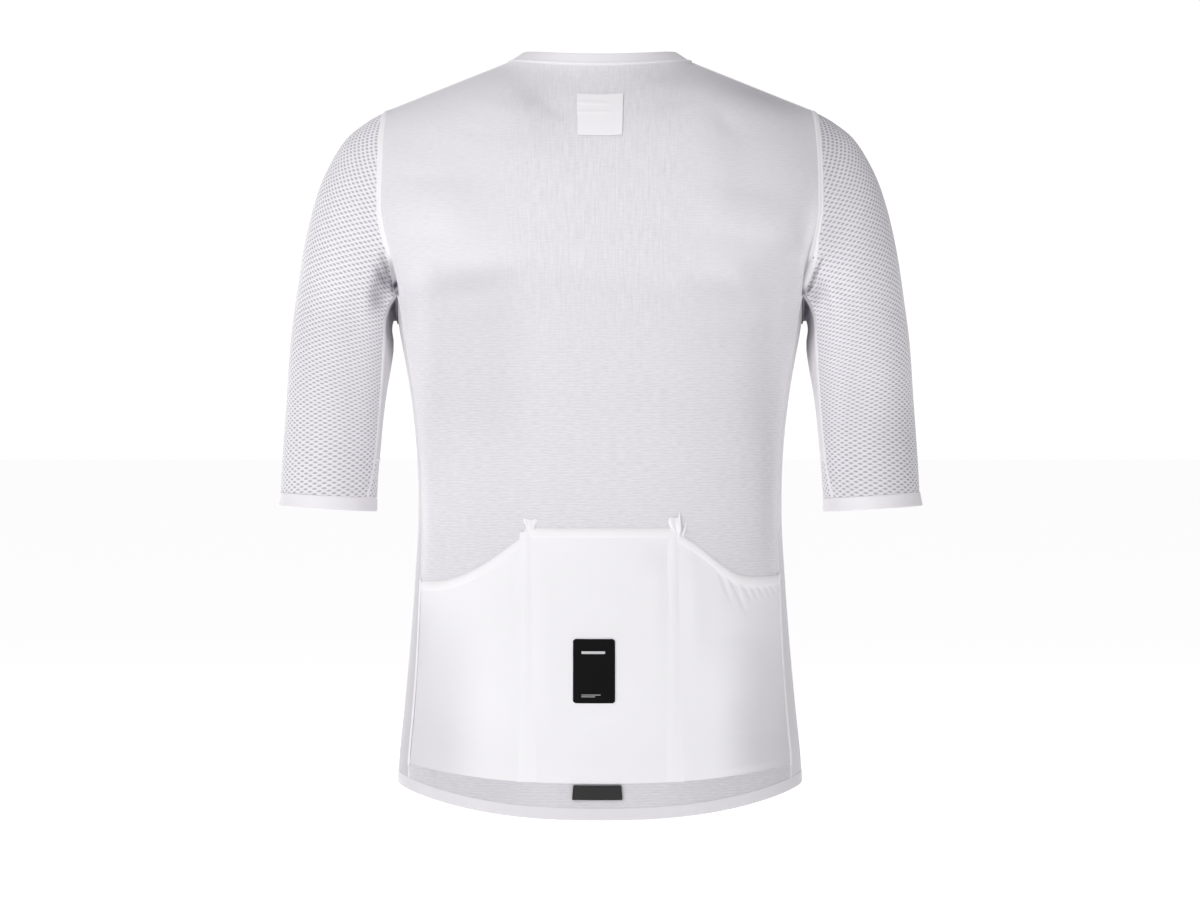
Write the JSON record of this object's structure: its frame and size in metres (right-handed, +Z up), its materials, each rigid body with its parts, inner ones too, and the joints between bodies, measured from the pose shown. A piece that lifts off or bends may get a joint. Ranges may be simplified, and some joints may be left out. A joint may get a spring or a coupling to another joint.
{
  "type": "cycling jersey",
  "caption": "Short-sleeved cycling jersey filled out as if worn, with a full-length front zip, low collar, mesh sleeves and open-topped back pockets.",
  "frame": {"origin": "midway between the tops of the two shoulder seams, at the armholes, where the wearer carries the garment", "axes": "+Z up along the body, -Y towards the zip at the chest, +X towards the wearer's left sleeve"},
  "size_m": [0.594, 0.2311, 0.6959],
  "materials": {
    "rib_knit": "fine rib knit, pale lilac grey, matt",
    "eyelet_mesh": "white eyelet mesh knit, matt",
    "smooth_knit": "smooth grey knit, slight sheen",
    "white_knit": "smooth opaque white knit",
    "white_band": "folded white elastic band",
    "patch_film": "thin white woven patch",
    "label_black": "near-black woven label",
    "tab_grey": "charcoal ribbon",
    "tape_white": "woven zip tape",
    "zip_metal": "satin metal"
  },
  "bodies": {
    "garment": {"back_panel": "rib_knit", "front_left": "rib_knit", "front_right": "rib_knit", "side_left": "smooth_knit", "side_right": "smooth_knit", "sleeve_left": "eyelet_mesh", "sleeve_right": "eyelet_mesh", "underarm_left": "smooth_knit", "underarm_right": "smooth_knit", "cuff_gusset_left": "eyelet_mesh", "cuff_gusset_right": "eyelet_mesh", "cuff_left": "white_band", "cuff_right": "white_band", "collar": "white_band", "hem_band": "white_band", "pocket_centre": "white_knit", "pocket_left": "white_knit", "pocket_right": "white_knit", "pocket_band_centre": "white_band", "pocket_band_left": "white_band", "pocket_band_right": "white_band", "pocket_tack_left": "white_band", "pocket_tack_right": "white_band", "neck_patch": "patch_film", "pocket_label": "label_black", "hem_tab": "tab_grey", "zip_tape_left": "tape_white", "zip_tape_right": "tape_white", "zip_slider": "zip_metal"},
    "pull_tab": {"zip_pull": "zip_metal"}
  },
  "joints": [
    {"name": "pull_tab_hinge", "type": "hinge", "parent": "garment", "child": "pull_tab", "pos_m": [0, -0.08319, -0.01642], "axis": [-1, 0, 0], "range_deg": [0, 150]}
  ]
}
